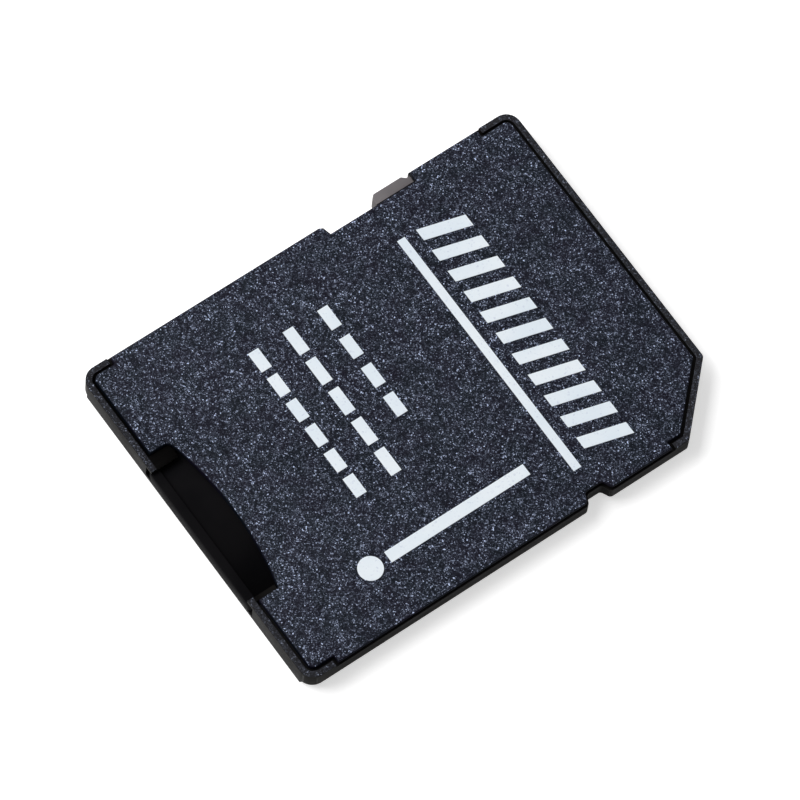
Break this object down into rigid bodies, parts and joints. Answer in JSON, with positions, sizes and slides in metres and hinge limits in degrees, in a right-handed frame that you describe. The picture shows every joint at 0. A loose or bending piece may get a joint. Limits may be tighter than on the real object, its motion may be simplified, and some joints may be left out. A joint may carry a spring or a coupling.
{
  "type": "memory card adapter with a small memory card",
  "caption": "Flat memory card adapter with a cut corner, a lock slider and contact windows; a small memory card slides into its end slot.",
  "frame": {"origin": "middle of the underside's rectangle, with the label face up", "axes": "+Y towards the contact end, +Z out of the label face, +X towards the side of the cut corner"},
  "size_m": [0.024, 0.032, 0.0021],
  "materials": {
    "shell": "satin black moulded plastic",
    "cover": "black moulded plastic with a fine sparkling texture",
    "slider": "satin grey moulded plastic",
    "carrier": "plain black moulded plastic",
    "contacts": "gold-plated stamped strip",
    "small_card": "smooth black moulded card",
    "ink": "white printing ink"
  },
  "bodies": {
    "adapter": {"bottom_shell": "shell", "top_cover": "cover", "terminal_carrier": "carrier", "terminal_1": "contacts", "terminal_2": "contacts", "terminal_3": "contacts", "terminal_4": "contacts", "terminal_5": "contacts", "terminal_6": "contacts", "terminal_7": "contacts", "terminal_8": "contacts", "terminal_9": "contacts", "printed_marks": "ink"},
    "slider": {"lock_slider": "slider"},
    "card": {"memory_card": "small_card", "card_contact_1": "contacts", "card_contact_2": "contacts", "card_contact_3": "contacts", "card_contact_4": "contacts", "card_contact_5": "contacts", "card_contact_6": "contacts", "card_contact_7": "contacts", "card_contact_8": "contacts"}
  },
  "joints": [
    {"name": "lock_slide", "type": "slide", "parent": "adapter", "child": "slider", "axis": [0, -1, 0], "range_m": [0, 0.0032]},
    {"name": "card_slide", "type": "slide", "parent": "adapter", "child": "card", "axis": [0, -1, 0], "range_m": [0, 0.016]}
  ]
}
